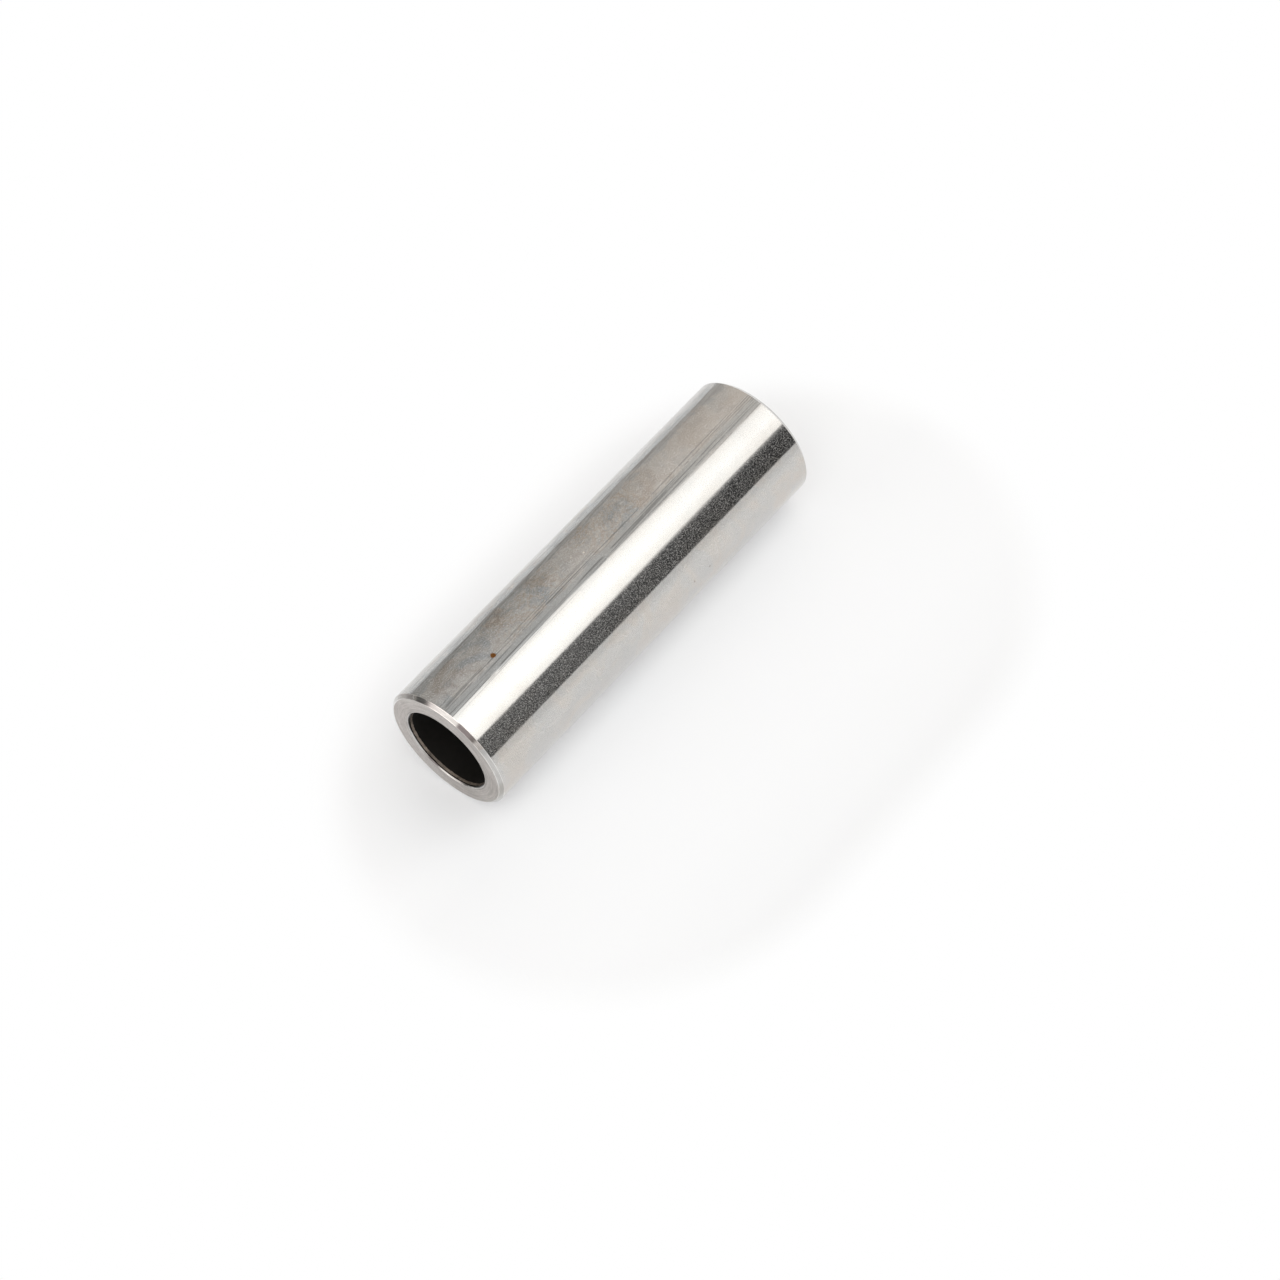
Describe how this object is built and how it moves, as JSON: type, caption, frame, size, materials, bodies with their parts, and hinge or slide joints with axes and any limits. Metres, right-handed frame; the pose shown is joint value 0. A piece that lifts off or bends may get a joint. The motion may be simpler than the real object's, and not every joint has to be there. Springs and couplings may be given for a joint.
{
  "type": "gudgeon pin",
  "caption": "Hollow ground steel gudgeon pin with chamfered outer edges and a through bore, joining a piston to the small end of a connecting rod.",
  "frame": {"origin": "centre of the lower end face, on the pin's axis", "axes": "+Z along the pin's axis, from the lower end face to the upper one; X and Y lie across it"},
  "size_m": [0.018, 0.018, 0.06],
  "materials": {
    "ground_steel": "ground and polished outside, satin end faces, dark unmachined bore"
  },
  "bodies": {
    "root": {"gudgeon_pin": "ground_steel"}
  },
  "joints": []
}
